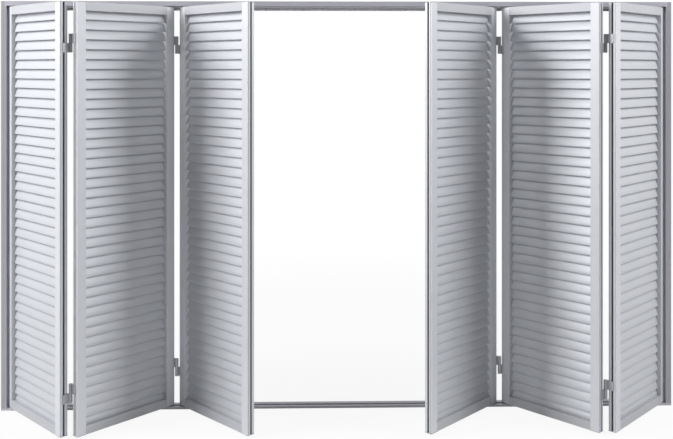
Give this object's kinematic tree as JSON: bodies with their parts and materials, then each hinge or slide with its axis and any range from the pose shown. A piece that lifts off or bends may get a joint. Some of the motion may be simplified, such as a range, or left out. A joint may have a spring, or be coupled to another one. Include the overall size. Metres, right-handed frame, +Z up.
{
  "type": "louvred shutters",
  "caption": "Folding and sliding louvred metal shutters in a slim rectangular frame, folded into a stack at each side with the doorway open between them.",
  "frame": {"origin": "on the underside of the bottom rail, at mid width and at mid depth of the frame", "axes": "+X along the width, +Z up, and the room side that the picture shows faces -Y"},
  "size_m": [3.6482, 0.4656, 2.213],
  "materials": {
    "frame_finish": "satin powder coat, light metallic grey",
    "leaf_finish": "satin powder coat, light metallic silver",
    "slat_finish": "satin powder coat, light metallic silver",
    "hinge_finish": "satin, grey",
    "cap_plastic": "fine matte, grey",
    "seat_plastic": "matte, dark",
    "steel": "turned stainless steel",
    "seal": "dense dark brush"
  },
  "bodies": {
    "frame": {"bottom_rail": "frame_finish", "brush_holder": "frame_finish", "head_seal": "seal", "head_track": "frame_finish", "jamb_covers": "frame_finish", "left_jamb": "frame_finish", "pivot_seats": "seat_plastic", "right_jamb": "frame_finish"},
    "leaf_1": {"leaf_1_bottom_rail": "leaf_finish", "leaf_1_end_caps": "cap_plastic", "leaf_1_hinge_blocks": "hinge_finish", "leaf_1_left_stile": "leaf_finish", "leaf_1_pivots": "steel", "leaf_1_right_stile": "leaf_finish", "leaf_1_slats": "slat_finish", "leaf_1_top_rail": "leaf_finish"},
    "leaf_2": {"leaf_2_bottom_rail": "leaf_finish", "leaf_2_end_caps": "cap_plastic", "leaf_2_guide_pins": "steel", "leaf_2_hinge_blocks": "hinge_finish", "leaf_2_left_stile": "leaf_finish", "leaf_2_right_stile": "leaf_finish", "leaf_2_slats": "slat_finish", "leaf_2_top_rail": "leaf_finish"},
    "leaf_3": {"leaf_3_bottom_rail": "leaf_finish", "leaf_3_end_caps": "cap_plastic", "leaf_3_hinge_blocks": "hinge_finish", "leaf_3_left_stile": "leaf_finish", "leaf_3_right_stile": "leaf_finish", "leaf_3_slats": "slat_finish", "leaf_3_top_rail": "leaf_finish"},
    "leaf_4": {"leaf_4_bottom_rail": "leaf_finish", "leaf_4_end_caps": "cap_plastic", "leaf_4_hinge_blocks": "hinge_finish", "leaf_4_left_stile": "leaf_finish", "leaf_4_right_stile": "leaf_finish", "leaf_4_slats": "slat_finish", "leaf_4_top_rail": "leaf_finish"},
    "leaf_5": {"leaf_5_bottom_rail": "leaf_finish", "leaf_5_end_caps": "cap_plastic", "leaf_5_guide_pins": "steel", "leaf_5_hinge_blocks": "hinge_finish", "leaf_5_left_stile": "leaf_finish", "leaf_5_right_stile": "leaf_finish", "leaf_5_slats": "slat_finish", "leaf_5_top_rail": "leaf_finish"},
    "leaf_6": {"leaf_6_bottom_rail": "leaf_finish", "leaf_6_end_caps": "cap_plastic", "leaf_6_hinge_blocks": "hinge_finish", "leaf_6_left_stile": "leaf_finish", "leaf_6_pivots": "steel", "leaf_6_right_stile": "leaf_finish", "leaf_6_slats": "slat_finish", "leaf_6_top_rail": "leaf_finish"},
    "left_top_roller": {"left_top_roller": "seat_plastic"},
    "left_bottom_roller": {"left_bottom_roller": "seat_plastic"},
    "right_top_roller": {"right_top_roller": "seat_plastic"},
    "right_bottom_roller": {"right_bottom_roller": "seat_plastic"}
  },
  "joints": [
    {"name": "left_stack_fold", "type": "hinge", "parent": "frame", "child": "leaf_1", "pos_m": [-1.7715, -0.006, 1.1065], "axis": [0, 0, 1], "range_deg": [-40, 46.1]},
    {"name": "leaf_1_to_2_fold", "type": "hinge", "parent": "leaf_1", "child": "leaf_2", "pos_m": [-1.34756, -0.39534, 1.1065], "axis": [0, 0, 1], "range_deg": [-92.2, 80]},
    {"name": "leaf_2_to_3_fold", "type": "hinge", "parent": "leaf_2", "child": "leaf_3", "pos_m": [-0.88175, -0.01368, 1.1065], "axis": [0, 0, 1], "range_deg": [-80, 92.2]},
    {"name": "left_top_roller_spin", "type": "hinge", "parent": "leaf_2", "child": "left_top_roller", "pos_m": [-0.92362, -0.006, 2.184], "axis": [0, 0, 1], "continuous": true},
    {"name": "left_bottom_roller_spin", "type": "hinge", "parent": "leaf_2", "child": "left_bottom_roller", "pos_m": [-0.92362, -0.006, 0.0145], "axis": [0, 0, 1], "continuous": true},
    {"name": "right_stack_fold", "type": "hinge", "parent": "frame", "child": "leaf_6", "pos_m": [1.7715, -0.006, 1.1065], "axis": [0, 0, -1], "range_deg": [-40, 46.1]},
    {"name": "leaf_6_to_5_fold", "type": "hinge", "parent": "leaf_6", "child": "leaf_5", "pos_m": [1.34756, -0.39534, 1.1065], "axis": [0, 0, -1], "range_deg": [-92.2, 80]},
    {"name": "leaf_5_to_4_fold", "type": "hinge", "parent": "leaf_5", "child": "leaf_4", "pos_m": [0.88175, -0.01368, 1.1065], "axis": [0, 0, -1], "range_deg": [-80, 92.2]},
    {"name": "right_top_roller_spin", "type": "hinge", "parent": "leaf_5", "child": "right_top_roller", "pos_m": [0.92362, -0.006, 2.184], "axis": [0, 0, 1], "continuous": true},
    {"name": "right_bottom_roller_spin", "type": "hinge", "parent": "leaf_5", "child": "right_bottom_roller", "pos_m": [0.92362, -0.006, 0.0145], "axis": [0, 0, 1], "continuous": true}
  ],
  "couplings": [
    {"joint": "leaf_1_to_2_fold", "follows": "left_stack_fold", "ratio": -2},
    {"joint": "leaf_2_to_3_fold", "follows": "left_stack_fold", "ratio": 2},
    {"joint": "leaf_6_to_5_fold", "follows": "right_stack_fold", "ratio": -2},
    {"joint": "leaf_5_to_4_fold", "follows": "right_stack_fold", "ratio": 2}
  ]
}
